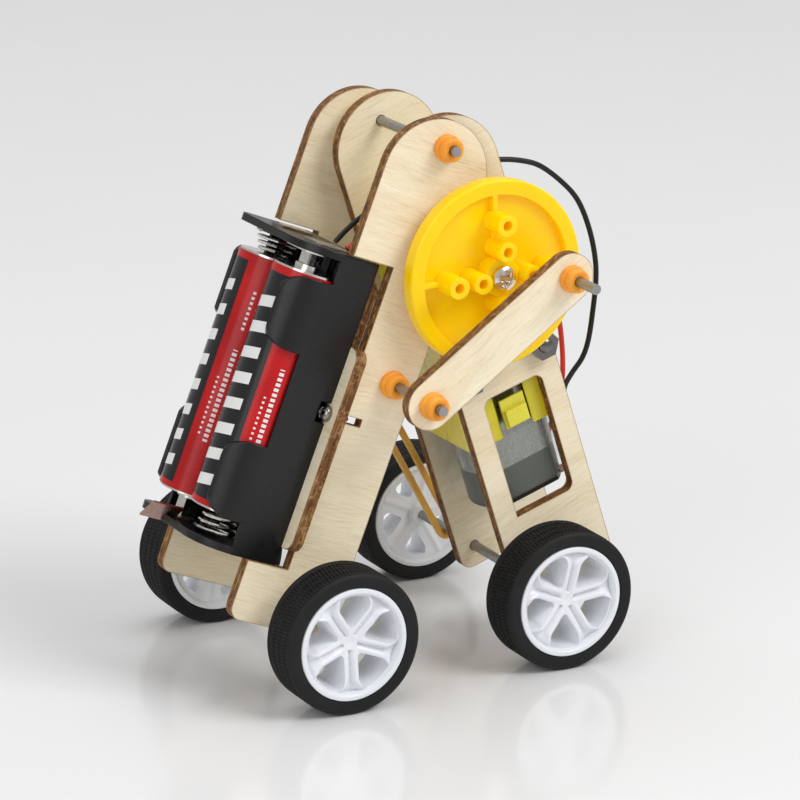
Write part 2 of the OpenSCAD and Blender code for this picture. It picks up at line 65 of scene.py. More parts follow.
LINK_HIGH = CRANK + CRANK_THROW * Vector((math.cos(CRANK_ANGLE), 0, math.sin(CRANK_ANGLE)))
FRONT_LEAN = math.radians(21)
REAR_LEAN = math.radians(-18.8)


def leg_axes(lean):
    """Axes of a leg that leans by that angle: across it, through the sheet, and up along it."""
    turn = Matrix.Rotation(lean, 3, "Y")
    return turn @ Vector((1, 0, 0)), Vector((0, 1, 0)), turn @ Vector((0, 0, 1))


FRONT = leg_axes(FRONT_LEAN)
REAR = leg_axes(REAR_LEAN)


def leg_place(axes, x, y, z):
    """World place of a point in leg axes, in millimetres from the hinge."""
    return PIVOT + MM * (x * axes[0] + y * axes[1] + z * axes[2])


def rod_place(hub, y):
    """World place on the rod through hub, y millimetres past the middle plane of the legs."""
    return Vector((hub.x, PIVOT.y + y * MM, hub.z))


# ---- camera, floor and light ----
def look_from(target, azimuth, elevation, distance, roll, focal):
    az, el = math.radians(azimuth), math.radians(elevation)
    away = Vector((math.sin(az) * math.cos(el), -math.cos(az) * math.cos(el), math.sin(el)))
    camera = bpy.data.objects.new("camera", bpy.data.cameras.new("camera"))
    bpy.context.scene.collection.objects.link(camera)
    camera.data.lens = focal
    camera.data.sensor_width = 36
    camera.data.clip_start = 0.05
    facing = (-away).to_track_quat("-Z", "Y").to_matrix().to_4x4()
    tilt = Matrix.Rotation(math.radians(roll), 4, "Z")
    camera.matrix_world = Matrix.Translation(target + distance * away) @ facing @ tilt
    bpy.context.scene.camera = camera


def area_light(name, place, target, size, power):
    light = bpy.data.objects.new(name, bpy.data.lights.new(name, "AREA"))
    bpy.context.scene.collection.objects.link(light)
    light.data.shape = "RECTANGLE"
    light.data.size, light.data.size_y = size
    light.data.energy = power
    light.location = place
    light.rotation_euler = (Vector(target) - Vector(place)).to_track_quat("-Z", "Y").to_euler()


CAMERA_TARGET = PIVOT + MM * Vector((-17.77, -32.45, -44.12))
look_from(CAMERA_TARGET, azimuth=-28.8, elevation=16.68, distance=0.7367, roll=0.91, focal=174.5)
area_light("key", (0.75, -1.0, 1.25), (0, 0, 0.05), size=(0.9, 0.7), power=15)
area_light("fill", (-1.1, -0.7, 0.7), (0, 0, 0.05), size=(0.9, 0.9), power=4.5)
area_light("top", (0.0, 0.5, 1.7), (0, 0, 0.0), size=(1.8, 1.6), power=10)
world = bpy.data.worlds.new("studio")
bpy.context.scene.world = world
world.use_nodes = True
world.node_tree.nodes["Background"].inputs["Color"].default_value = (1, 1, 1, 1)
world.node_tree.nodes["Background"].inputs["Strength"].default_value = 0.54
bpy.context.scene.view_settings.view_transform = "Standard"


# ---- material nodes ----
class Nodes:
    """Short calls that build one material's nodes."""

    def __init__(self, name):
        self.material = bpy.data.materials.new(name)
        self.material.use_nodes = True
        self.tree = self.material.node_tree
        self.shader = self.tree.nodes["Principled BSDF"]
        self.place = self.add("TexCoord").outputs["Object"]

    def add(self, kind, inputs=None, **settings):
        node = self.tree.nodes.new("ShaderNode" + kind)
        for key, value in settings.items():
            setattr(node, key, value)
        for key, value in (inputs or {}).items():
            self.put(node.inputs[key], value)
        return node

    def put(self, socket, value):
        if isinstance(value, bpy.types.NodeSocket):
            self.tree.links.new(value, socket)
        else:
            socket.default_value = value

    def set(self, **values):
        for key, value in values.items():
            self.put(self.shader.inputs[key.replace("_", " ")], value)

    def calc(self, operation, *values):
        node = self.add("Math", dict(enumerate(values)), operation=operation)
        return node.outputs[0]

    def along(self, axis):
        return self.add("VectorMath", {0: self.place, 1: tuple(axis)}, operation="DOT_PRODUCT").outputs["Value"]

    def vector(self, x, y, z):
        return self.add("CombineXYZ", {"X": x, "Y": y, "Z": z}).outputs[0]

    def noise(self, vector, scale, detail=4, roughness=0.6):
        values = {"Vector": vector, "Scale": scale, "Detail": detail, "Roughness": roughness}
        return self.add("TexNoise", values).outputs[0]

    def ramp(self, value, stops):
        node = self.add("ValToRGB", {"Fac": value})
        while len(node.color_ramp.elements) < len(stops):
            node.color_ramp.elements.new(0.5)
        for element, (position, colour) in zip(node.color_ramp.elements, stops):
            element.position = position
            element.color = (*colour, 1) if len(colour) == 3 else colour
        return node.outputs["Color"]

    def span(self, value, low, high, to_low=0.0, to_high=1.0):
        values = {"Value": value, "From Min": low, "From Max": high, "To Min": to_low, "To Max": to_high}
        return self.add("MapRange", values).outputs["Result"]

    def mix(self, fac, a, b):
        node = self.add("Mix", data_type="RGBA")
        self.put(node.inputs[0], fac)
        self.put(node.inputs[6], a if isinstance(a, bpy.types.NodeSocket) else (*a, 1))
        self.put(node.inputs[7], b if isinstance(b, bpy.types.NodeSocket) else (*b, 1))
        return node.outputs[2]

    def bump(self, height, strength, distance, edge=0.0):
        values = {"Height": height, "Strength": strength, "Distance": distance}
        if edge:
            values["Normal"] = self.add("Bevel", {"Radius": edge}, samples=4).outputs[0]
        self.put(self.shader.inputs["Normal"], self.add("Bump", values).outputs[0])


def plywood(name, thin, grain, middle, sheet=2.4, seed=0.0):
    """Basswood ply: thin is the sheet's normal, grain runs along its faces, and middle is the sheet's
    mid place along thin. Its cut edges are burnt brown, with glue lines."""
    n = Nodes(name)
    across = Vector(thin).cross(Vector(grain))
    u, v, w = n.along(grain), n.along(across), n.calc("SUBTRACT", n.along(thin), middle)
    slow = n.noise(n.vector(u, n.calc("ADD", v, seed), w), 28, 3)
    wavy = n.calc("ADD", v, n.calc("MULTIPLY", slow, 0.006))
    fibre = n.noise(n.vector(n.calc("MULTIPLY", u, 210), n.calc("MULTIPLY", wavy, 2300), seed), 1, 3)
    band = n.noise(n.vector(n.calc("MULTIPLY", u, 14), n.calc("MULTIPLY", wavy, 150), seed), 1, 4)
    fleck = n.noise(n.vector(n.calc("MULTIPLY", u, 700), n.calc("MULTIPLY", v, 4200), seed), 1, 1)
    cloud = n.noise(n.vector(u, v, seed), 45, 3)
    face = n.ramp(n.calc("ADD", n.calc("MULTIPLY", fibre, 0.5), n.calc("MULTIPLY", band, 0.5)), [
        (0.32, (0.70, 0.56, 0.36)), (0.48, (0.84, 0.73, 0.52)), (0.64, (0.91, 0.83, 0.65))])
    face = n.mix(n.span(cloud, 0.35, 0.7, 0, 0.35), face, (0.88, 0.76, 0.54))
    face = n.mix(n.span(fleck, 0.64, 0.78, 0, 0.32), face, (0.50, 0.34, 0.18))
    normal = n.add("TexCoord").outputs["Normal"]
    facing = n.add("VectorMath", {0: normal, 1: tuple(thin)}, operation="DOT_PRODUCT").outputs["Value"]
    is_face = n.span(n.calc("ABSOLUTE", facing), 0.5, 0.75)
    char = n.noise(n.place, 900, 3, 0.7)
    soot = n.noise(n.vector(u, v, n.calc("MULTIPLY", w, 6)), 260, 4, 0.65)
    edge = n.ramp(soot, [(0.3, (0.055, 0.02, 0.008)), (0.5, (0.19, 0.08, 0.022)), (0.72, (0.48, 0.26, 0.085))])
    ply_line = n.calc("ABSOLUTE", n.calc("SUBTRACT", n.calc("ABSOLUTE", w), sheet * MM / 6))
    edge = n.mix(n.span(ply_line, 0.0, 0.00022, 0.8, 0), edge, (0.07, 0.025, 0.01))
    edge = n.mix(n.span(char, 0.5, 0.75, 0, 0.6), edge, (0.62, 0.38, 0.16))
    rim = n.add("Bevel", {"Radius": 0.0005}, samples=6).outputs[0]
    true_normal = n.add("NewGeometry").outputs["Normal"]
    flat = n.add("VectorMath", {0: rim, 1: true_normal}, operation="DOT_PRODUCT").outputs["Value"]
    burnt = n.span(flat, 0.80, 0.995, 0.85, 0)
    face = n.mix(burnt, face, (0.20, 0.075, 0.02))
    n.set(Base_Color=n.mix(is_face, edge, face), Roughness=n.span(fibre, 0.3, 0.7, 0.62, 0.78))
    n.set(Specular_IOR_Level=0.3)
    height = n.calc("ADD", n.calc("MULTIPLY", fibre, 0.6), n.calc("MULTIPLY", char, n.span(is_face, 0, 1, 2.5, 0.1)))
    n.bump(height, 0.5, 0.00012)
    return n.material


def plastic(name, colour, roughness=0.35, grain=900, depth=0.00002, shade=0.85, edge=0.00025, **shader):
    """Moulded plastic: slight colour drift, fine surface texture, handling scuffs and softened edges."""
    n = Nodes(name)
    drift = n.noise(n.place, 60, 3)
    fine = n.noise(n.place, grain, 3)
    stretched = n.vector(n.along((1, 0, 0)), n.calc("MULTIPLY", n.along((0, 1, 0)), 5), n.along((0, 0, 1)))
    scuff = n.span(n.noise(stretched, 240, 5), 0.62, 0.8, 0, 0.15)
    darker = tuple(shade * c for c in colour)
    n.set(Base_Color=n.mix(n.span(drift, 0.35, 0.65), darker, colour))
    base = n.span(fine, 0.3, 0.7, roughness - 0.04, roughness + 0.04)
    n.set(Roughness=n.calc("ADD", base, scuff), **shader)
    n.bump(n.calc("ADD", fine, n.calc("MULTIPLY", drift, 0.6)), 0.4, depth, edge)
    return n.material


def metal(name, colour, roughness=0.3, brush=(0, 1, 0), wear=(0.25, 0.22, 0.19), amount=0.35):
    """Metal with fine drawing lines along brush, dulled in patches."""
    n = Nodes(name)
    side = Vector(brush).orthogonal().normalized()
    other = Vector(brush).cross(side)
    lines = n.noise(n.vector(n.calc("MULTIPLY", n.along(brush), 90), n.calc("MULTIPLY", n.along(side), 3000),
                             n.calc("MULTIPLY", n.along(other), 3000)), 1, 3)
    patch = n.noise(n.place, 420, 5, 0.7)
    n.set(Base_Color=n.mix(n.span(patch, 0.45, 0.75, 0, amount), colour, wear), Metallic=1.0)
    n.set(Roughness=n.calc("ADD", n.span(lines, 0.3, 0.7, roughness - 0.07, roughness + 0.07),
                           n.span(patch, 0.5, 0.8, 0, 0.18)))
    n.bump(lines, 0.25, 0.00002)
    return n.material


def rubber(name, colour, roughness=0.6, **shader):
    """Soft rubber or vinyl: matte, with fine pores and dusty patches."""
    n = Nodes(name)
    pores = n.noise(n.place, 1800, 2)
    dust = n.noise(n.place, 150, 5, 0.7)
    lighter = tuple(min(1, 1.7 * c + 0.012) for c in colour)
    n.set(Base_Color=n.mix(n.span(dust, 0.45, 0.8, 0, 0.6), colour, lighter))
    n.set(Roughness=n.span(dust, 0.3, 0.8, roughness, roughness + 0.15), **shader)
    n.bump(n.calc("ADD", n.calc("MULTIPLY", pores, 0.5), dust), 0.35, 0.00003)
    return n.material


def finish(material, *names):
    for name in names:
        mesh = frame["nodes"][name].data
        mesh.materials.clear()
        mesh.materials.append(material)


# ---- mesh building ----
def make(name, bm, material, body=None, replaces=(), angle=35):
    bmesh.ops.recalc_face_normals(bm, faces=bm.faces)
    mesh = bpy.data.meshes.new(name)
    bm.to_mesh(mesh)
    bm.free()
    mesh.materials.append(material)
    piece = bpy.data.objects.new(name, mesh)
    bpy.context.scene.collection.objects.link(piece)
    for polygon in mesh.polygons:
        polygon.use_smooth = True
    mesh.set_sharp_from_angle(angle=math.radians(angle))
    if body:
        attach(piece, body)
    if replaces:
        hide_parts(*replaces)
    return piece


def frame_at(place, axis, up=(0, 0, 1)):
    """Matrix whose Z is axis and whose X is as near up as it can be, at place."""
    z = Vector(axis).normalized()
    x = (Vector(up) - z * Vector(up).dot(z)).normalized()
    y = z.cross(x)
    return Matrix.Translation(place) @ Matrix((x, y, z)).transposed().to_4x4()


def lathe(bm, profile, matrix, segments=48):
    """Turns the closed outline (radius, height), in metres, about matrix's Z. Radius 0 makes a pole."""
    rings = []
    for radius, height in profile:
        if radius < 1e-7:
            rings.append([bm.verts.new(matrix @ Vector((0, 0, height)))])
            continue
        turns = [2 * math.pi * k / segments for k in range(segments)]
        spots = [Vector((radius * math.cos(a), radius * math.sin(a), height)) for a in turns]
        rings.append([bm.verts.new(matrix @ spot) for spot in spots])
    closed = len(rings[0]) > 1
    pairs = list(zip(rings, rings[1:])) + ([(rings[-1], rings[0])] if closed else [])
    for a, b in pairs:
        for k in range(segments):
            m = (k + 1) % segments
            corners = [a[k % len(a)], a[m % len(a)], b[m % len(b)], b[k % len(b)]]
            unique = [v for i, v in enumerate(corners) if v not in corners[:i]]
            if len(unique) > 2:
                bm.faces.new(unique)


def arc(cx, cy, radius, start, end, steps=5):
    """Points of an arc, angles in degrees."""
    turns = [math.radians(start + (end - start) * k / steps) for k in range(steps + 1)]
    return [(cx + radius * math.cos(a), cy + radius * math.sin(a)) for a in turns]


def scaled(points):
    return [(x * MM, y * MM) for x, y in points]


def tube(name, points, radius, material, closed=False, sides=12):
    """A smooth tube through the points, as a mesh."""
    curve = bpy.data.curves.new(name, "CURVE")
    curve.dimensions = "3D"
    spline = curve.splines.new("NURBS")
    spline.points.add(len(points) - 1)
    for slot, place in zip(spline.points, points):
        slot.co = (*place, 1)
    spline.order_u = 4
    spline.use_endpoint_u = not closed
    spline.use_cyclic_u = closed
    spline.resolution_u = 8
    curve.bevel_depth = radius
    curve.bevel_resolution = sides // 4
    curve.use_fill_caps = not closed
    holder = bpy.data.objects.new(name + "_curve", curve)
    bpy.context.scene.collection.objects.link(holder)
    bpy.context.view_layer.update()
    mesh = bpy.data.meshes.new_from_object(holder.evaluated_get(bpy.context.evaluated_depsgraph_get()))
    bpy.data.objects.remove(holder)
    mesh.name = name
    mesh.materials.clear()
    mesh.materials.append(material)
    for polygon in mesh.polygons:
        polygon.use_smooth = True
    piece = bpy.data.objects.new(name, mesh)
    bpy.context.scene.collection.objects.link(piece)
    return piece


# ---- materials ----
PLY_Y = {name: sum(corner.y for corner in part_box(name)) / 2
         for name in ("front_leg_near", "front_leg_far", "rear_leg_near", "rear_leg_far", "link_bar")}
for seed, (name, axes) in enumerate([("front_leg_near", FRONT), ("front_leg_far", FRONT),
                                     ("rear_leg_near", REAR), ("rear_leg_far", REAR)]):
    finish(plywood(name + "_ply", (0, 1, 0), axes[0], PLY_Y[name], seed=0.07 * seed), name)
BOARD_MIDDLE = leg_place(FRONT, -3.45, 0, 0).dot(FRONT[0])
finish(plywood("board_ply", FRONT[0], (0, 1, 0), BOARD_MIDDLE, seed=0.4), "battery_board")
LINK_LINE = Vector((math.cos(math.radians(35.5)), 0, math.sin(math.radians(35.5))))
finish(plywood("link_ply", (0, 1, 0), LINK_LINE, PLY_Y["link_bar"], seed=0.55), "link_bar")

steel = metal("rod_steel", (0.36, 0.36, 0.355), 0.40)
dark_steel = metal("dark_steel", (0.16, 0.15, 0.14), 0.20, amount=0.4)
chrome = metal("chrome", (0.74, 0.72, 0.70), 0.14, amount=0.25)
screw_steel = metal("screw_steel", (0.30, 0.28, 0.26), 0.15, amount=0.4)
nickel = metal("nickel", (0.70, 0.68, 0.64), 0.18, brush=FRONT[2], amount=0.25)
tin = metal("tin", (0.55, 0.36, 0.30), 0.28, amount=0.4)
can_steel = metal("can_steel", (0.30, 0.305, 0.29), 0.26, brush=REAR[2])
black_abs = plastic("black_abs", (0.0068, 0.0068, 0.0072), 0.30, 700, 0.00003, edge=0.0005, Specular_IOR_Level=0.38)
cap_black = plastic("cap_black", (0.012, 0.012, 0.012), 0.35)
white_abs = plastic("white_abs", (0.80, 0.82, 0.86), 0.24, shade=0.96, edge=0.0, Subsurface_Weight=0.08,
                    Subsurface_Radius=(0.002, 0.002, 0.002))
acetal = plastic("acetal", (0.85, 0.83, 0.78), 0.35)
gear_yellow = plastic("gear_yellow", (0.90, 0.76, 0.02), 0.24, Subsurface_Weight=0.3,
                      Subsurface_Radius=(0.004, 0.003, 0.001), Subsurface_Scale=0.5)
latch_yellow = plastic("latch_yellow", (0.88, 0.80, 0.06), 0.25, Subsurface_Weight=0.3,
                       Subsurface_Radius=(0.003, 0.003, 0.001), Subsurface_Scale=0.5)
# The crank disc's faint orange emission is a painted glow: it stands in for light shining through the translucent
# yellow plastic, though the disc is no lamp.
disc_yellow = plastic("disc_yellow", (1.0, 0.66, 0.0), 0.30, 500, 0.00001, 0.93, 0.0003, Specular_IOR_Level=0.35,
                      Subsurface_Weight=0.5, Subsurface_Radius=(0.007, 0.0028, 0.0003), Subsurface_Scale=0.7,
                      Emission_Color=(1.0, 0.50, 0.0, 1), Emission_Strength=0.09)
clear_cover = plastic("clear_cover", (0.62, 0.70, 0.58), 0.05, Alpha=0.09, Specular_IOR_Level=1.0)
orange = rubber("orange_rubber", (0.88, 0.33, 0.03), 0.36, Subsurface_Weight=0.45,
                Subsurface_Radius=(0.003, 0.001, 0.0003), Subsurface_Scale=0.6, Specular_IOR_Level=0.35)
tyre_black = rubber("tyre_black", (0.0055, 0.0055, 0.006), 0.55, Specular_IOR_Level=0.3)
wire_black = rubber("wire_black", (0.004, 0.004, 0.004), 0.36, Specular_IOR_Level=0.35)
wire_red = rubber("wire_red", (0.55, 0.015, 0.01), 0.32)
latex = rubber("latex", (0.76, 0.39, 0.030), 0.38, Subsurface_Weight=0.25,
               Subsurface_Radius=(0.002, 0.0008, 0.0001), Subsurface_Scale=0.6)

finish(steel, "pivot_rod", "link_rod", "crank_pin", "front_axle", "rear_axle")
finish(dark_steel, "motor_nuts")
finish(nickel, "cell_springs", "cell_contacts", "near_cell_can", "far_cell_can")
finish(tin, "contact_tab", "motor_terminals")
finish(can_steel, "motor_can")
finish(cap_black, "motor_end_cap")
finish(black_abs, "battery_box")
finish(gear_yellow, "gearbox_near", "gearbox_far")
finish(latch_yellow, "gearbox_latch")
finish(clear_cover, "motor_cover")
finish(disc_yellow, "crank_disc")
finish(acetal, "output_shaft", "output_gear")


# Pitch of the sleeve's bars and dashes along the cell, and their lean over the stripe's half width
BAR_STEP, DASH_STEP, BAR_LEAN = 0.0052, 0.00105, 0.16
# Rows of dashes: from and to, in radians past the stripe's start, lowest and highest, and a dash's part of a step
DASH_ROWS = [
    (-0.60, -0.46, -0.0135, 0.0055, 0.25),
    (-0.33, -0.26, -0.0125, -0.0005, 0.45),
    (-0.56, -0.47, 0.0095, 0.0175, 0.35),
]


def cell_sleeve(name, centre, stripe, patch):
    """Printed shrink sleeve: red, with a black stripe from stripe[0] to stripe[1] radians round the cell that
    holds plain white bars, rows of even white dashes beside it, and a dark green patch in the range patch."""
    n = Nodes(name)
    up = n.calc("SUBTRACT", n.along(FRONT[2]), centre.dot(FRONT[2]))
    out = n.calc("SUBTRACT", n.along(FRONT[0]), centre.dot(FRONT[0]))
    side = n.calc("SUBTRACT", n.along((0, 1, 0)), centre.y)
    turn = n.calc("ARCTAN2", side, n.calc("MULTIPLY", out, -1.0))
    from_below = n.calc("ADD", up, 0.1)

    def inside(value, low, high):
        return n.calc("MULTIPLY", n.calc("GREATER_THAN", value, low), n.calc("LESS_THAN", value, high))

    def both(*masks):
        result = masks[0]
        for mask in masks[1:]:
            result = n.calc("MULTIPLY", result, mask)
        return result

    middle, half = (stripe[0] + stripe[1]) / 2, (stripe[1] - stripe[0]) / 2
    across = n.calc("DIVIDE", n.calc("SUBTRACT", turn, middle), half)
    lean = n.calc("ADD", n.calc("DIVIDE", from_below, BAR_STEP), n.calc("MULTIPLY", across, BAR_LEAN))
    white = both(inside(n.calc("FRACT", lean), 0.25, 0.68), inside(across, -0.60, 0.60), inside(up, -0.0212, 0.0188))
    dash = n.calc("FRACT", n.calc("DIVIDE", from_below, DASH_STEP))
    past = n.calc("SUBTRACT", turn, stripe[0])
    for start, end, low, high, dash_from in DASH_ROWS:
        row = both(inside(past, start, end), inside(up, low, high), inside(dash, dash_from, 0.85))
        white = n.calc("MAXIMUM", white, row)
    black = both(inside(turn, *stripe), inside(up, -0.0232, 0.0228))
    outer = inside(turn, stripe[0] - 0.03, stripe[1] + 0.03)
    edge = n.calc("SUBTRACT", outer, inside(turn, stripe[0] - 0.012, stripe[1] + 0.012))
    green = both(inside(turn, patch[0], patch[1]), inside(up, patch[2], patch[3]))
    fine = n.noise(n.place, 1500, 2)
    red = n.mix(n.span(n.noise(n.place, 90, 3), 0.35, 0.65), (0.42, 0.004, 0.006), (0.55, 0.008, 0.010))
    red = n.mix(edge, red, (0.35, 0.004, 0.005))
    colour = n.mix(green, red, (0.008, 0.05, 0.03))
    colour = n.mix(black, colour, (0.014, 0.013, 0.014))
    colour = n.mix(white, colour, (0.80, 0.80, 0.79))
    n.set(Base_Color=colour, Roughness=n.span(fine, 0.3, 0.7, 0.20, 0.30))
    n.set(Coat_Weight=0.15, Coat_Roughness=0.12, Specular_IOR_Level=0.25)
    n.bump(fine, 0.2, 0.00001)
    return n.material


SLEEVE_PRINT = {
    "near": ((-0.79, 0.61), (-2.2, -1.7, -0.02, 0.0)),
    "far": ((-0.38, 0.96), (-1.92, -1.31, 0.004, 0.018)),
}
for side, (stripe, patch) in SLEEVE_PRINT.items():
    low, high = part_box(side + "_cell_sleeve")
    finish(cell_sleeve(side + "_sleeve", (low + high) / 2, stripe, patch), side + "_cell_sleeve")

# ---- wires and band; the routes are in millimetres from the hinge ----
BLACK_ROUTE = [
    (-18.6, -7, -18.9), (-15.8, -6, -17.2), (-12, -5, -15.2), (-4, -5, -10.8), (4.5, -5, -8.2),
    (11.5, -5, -7), (18.4, -5, -6.7), (23.8, -5, -7.4), (28.4, -5, -9), (33.5, -5, -12.8),
    (37.2, -5, -16.8), (39.9, -5, -22.4), (41.6, -5, -28.5), (42.1, -5, -33.9), (41.5, -5, -41.1),
    (40.7, -5, -46.5), (39.4, -5, -50), (37, -5, -53), (35, -5.6, -55.6), (34.6, -6.6, -59),
    (35.1, -7.8, -63.8), (35.7, -8.2, -69.8),
]
RED_ROUTE = [
    (-16.9, -8.5, -20.2), (-13.5, -8.5, -18.4), (-8, -8.8, -14.4), (0, -8.8, -10.4), (9, -8.8, -8.8),
    (17, -8.6, -10.5), (24, -7.5, -18), (29.5, -6, -29), (33.2, -5, -39), (35.2, -4.2, -49),
    (35.8, -3, -57), (36.2, 0, -63), (35.8, 3.2, -69.8),
]


def fine_route(points, steps=8):
    """Smooth route through the points, by Catmull-Rom spans."""
    ends = [2 * points[0] - points[1], *points, 2 * points[-1] - points[-2]]
    route = []
    for a, b, c, d in zip(ends, ends[1:], ends[2:], ends[3:]):
        for t in (k / steps for k in range(steps)):
            route.append(0.5 * (2 * b + (c - a) * t + (2 * a - 5 * b + 4 * c - d) * t**2
                                + (3 * b - a - 3 * c + d) * t**3))
    return [*route, points[-1]]


WIRE = 1.1 * MM
for name, material, route in (("black_wire", wire_black, BLACK_ROUTE), ("red_wire", wire_red, RED_ROUTE)):
    path = fine_route([PIVOT + MM * Vector(point) for point in route])
    wire = tube(name + "_skin", path, WIRE / 2, material)
    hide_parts(name)
    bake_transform(wire)


def band_loop(top, foot, bend, bend_steps=10, run_steps=24):
    """Closed loop round two rods along Y, as (place, outward) pairs."""
    slope = math.atan2(foot.z - top.z, foot.x - top.x)
    turns = []
    for centre, start in ((top, 90), (foot, -90)):
        for k in range(bend_steps + 1):
            a = slope + math.radians(start + 180 * k / bend_steps)
            outward = Vector((math.cos(a), 0, math.sin(a)))
            turns.append((centre + bend * outward, outward))
    loop = []
    for k, (place, outward) in enumerate(turns):
        next_place, next_outward = turns[(k + 1) % len(turns)]
        steps = run_steps if k % (bend_steps + 1) == bend_steps else 1
        for t in (m / steps for m in range(steps)):
            loop.append((place.lerp(next_place, t), outward.lerp(next_outward, t)))
    return loop


# Outward and sideways half sizes of the band, and the radius that its middle line bends to
BAND_THICK, BAND_WIDE, BAND_BEND = 0.6, 0.68, 1.6
BAND_TOP = rod_place(LINK_LOW, -2.6)
BAND_FOOT = PIVOT + MM * Vector((23.5, 21.8, -92.3))
BAND_SIDE = [(u * BAND_THICK, v * BAND_WIDE) for u, v in (
    (1, -0.7), (1, 0.7), (0.75, 1), (-0.75, 1), (-1, 0.7), (-1, -0.7), (-0.75, -1), (0.75, -1))]
bm = bmesh.new()
loop = band_loop(BAND_TOP, BAND_FOOT, BAND_BEND * MM)
rings = []
for k, (place, outward) in enumerate(loop):
    ahead = (loop[(k + 1) % len(loop)][0] - loop[k - 1][0]).normalized()
    out = (outward - ahead * outward.dot(ahead)).normalized()
    wide = ahead.cross(out)
    rings.append([bm.verts.new(place + MM * (u * out + v * wide)) for u, v in BAND_SIDE])
for a, b in zip(rings, rings[1:] + rings[:1]):
    for k in range(len(a)):
        m = (k + 1) % len(a)
        bm.faces.new([a[k], a[m], b[m], b[k]])
band = make("rubber_band_skin", bm, latex, replaces=["rubber_band"], angle=50)
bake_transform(band)

# ---- collars, screws and bolts ----
ROD_R = 1.0


def collar(bm, hub, y, side):
    """Moulded rubber bush with a wide foot at y and a rounded nose towards side."""
    foot = [(ROD_R, 0), (2.45, 0), *arc(2.4, 0.3, 0.3, -60, 60, 4), *arc(2.38, 1.0, 0.32, 0, 70, 4)]
    nose = [(2.28, 1.42), (2.32, 1.6), *arc(1.85, 2.8, 0.5, 0, 90, 6), (1.25, 3.3), (ROD_R, 3.1)]
    lathe(bm, scaled(foot + nose), frame_at(rod_place(hub, y), (0, side, 0)))


def spacer(bm, hub, y):
    """Plain rubber sleeve on a rod, from y on."""
    radius, length, chamfer = 2.7, 2.65, 0.2
    profile = [(ROD_R, 0), (radius - chamfer, 0), (radius, chamfer), (radius, length - chamfer),
               (radius - chamfer, length), (ROD_R, length)]
    lathe(bm, scaled(profile), frame_at(rod_place(hub, y), (0, 1, 0)))


COLLARS = {
    "pivot_collars": ("front_frame", [(PIVOT, -16.8, -1), (PIVOT, 16.8, 1)]),
    "link_rod_collars": ("front_frame", [(LINK_LOW, -16.8, -1), (LINK_LOW, 16.8, 1),
                                         (LINK_LOW, -32.85, -1), (LINK_LOW, -30.35, 1)]),
    "crank_pin_collars": ("link", [(LINK_HIGH, -32.8, -1)]),
}
for name, (body, stops) in COLLARS.items():
    bm = bmesh.new()
    for hub, y, side in stops:
        collar(bm, hub, y, side)
    if body == "link":
        spacer(bm, LINK_HIGH, -30.4)
    make(name + "_rubber", bm, orange, body, [name], angle=40)


def screw(bm, foot, axis, head_r, head_h, shank_r, shank, pitch=0.5):
    """Pan head with a cross recess on foot, its shank going the other way with a thread."""
    start = len(bm.verts)
    dome = [(0.0, head_h)]
    for t in (k / 24 for k in range(1, 24)):
        dome.append((head_r * t, head_h * (1 - 0.42 * t**2.4)))
    dome += [(0.985 * head_r, 0.42 * head_h), (head_r, 0.25 * head_h), (0.97 * head_r, 0.0)]
    threads = []
    for k in range(int(shank / pitch)):
        threads += [(shank_r, -(k + 0.25) * pitch), (0.78 * shank_r, -(k + 0.75) * pitch)]
    place = frame_at(foot, axis, (0.3, 0.1, 1))
    lathe(bm, scaled([*dome, *threads, (0.0, -shank)]), place, 96)
    back = place.inverted()
    bm.verts.ensure_lookup_table()
    for vert in list(bm.verts)[start:]:
        local = back @ vert.co / MM
        u, v = sorted((abs(local.x), abs(local.y)))
        wall = min(1.0, max(0.0, (0.24 - u / head_r) / 0.09)) * min(1.0, max(0.0, (0.66 - v / head_r) / 0.12))
        if local.z > 0.5 * head_h and wall > 0:
            sink = 0.62 * head_h * (1 - 0.7 * v / head_r) * wall
            vert.co = place @ (Vector((local.x, local.y, local.z - sink)) * MM)


# Node: material, body, the way its heads face, the foot of each head, and then head radius and height,
# shank radius and length, and thread pitch
AWAY = Vector((0, 1, 0))
SCREWS = {
    "disc_screw": (chrome, "crank", -AWAY, [rod_place(CRANK, -25.2)], (2.5, 1.75, 1.2, 4.2, 0.5)),
    "board_screws": (screw_steel, "front_frame", -FRONT[0],
                     [leg_place(FRONT, -4.64, y, -56) for y in (-15.6, 15.6)], (1.65, 1.68, 0.75, 4.9, 0.5)),
    "gearbox_screws": (dark_steel, "rear_frame", AWAY,
                       [leg_place(REAR, x, 7.0, z) for x, z in ((-7.5, -24), (7.5, -24), (0, -40))],
                       (2.2, 1.38, 1.0, 0.5, 0.5)),
    "motor_bolts": (dark_steel, "rear_frame", AWAY,
                    [leg_place(REAR, x, 11.95, -47.9) for x in (-8.75, 8.75)], (2.8, 1.94, 1.5, 29.5, 0.7)),
}
for name, (material, body, facing, feet, sizes) in SCREWS.items():
    bm = bmesh.new()
    for foot in feet:
        screw(bm, foot, facing, *sizes)
    make(name + "_turned", bm, material, body, [name], angle=45)

# ---- tyres and rims ----
TYRE_R, TYRE_W, RIM_R = 14.4, 9.7, 11.4
SHOULDER_R = 1.0
TREAD_ROWS, TREAD_STEP, TREAD_DEPTH = 14, 0.55, 0.42
TREAD_SEGMENTS = 480
SPOKES = 5
SPOKE_TURN = 2 * math.pi / SPOKES
STAR_R = 9.9
BARREL_R = 9.95


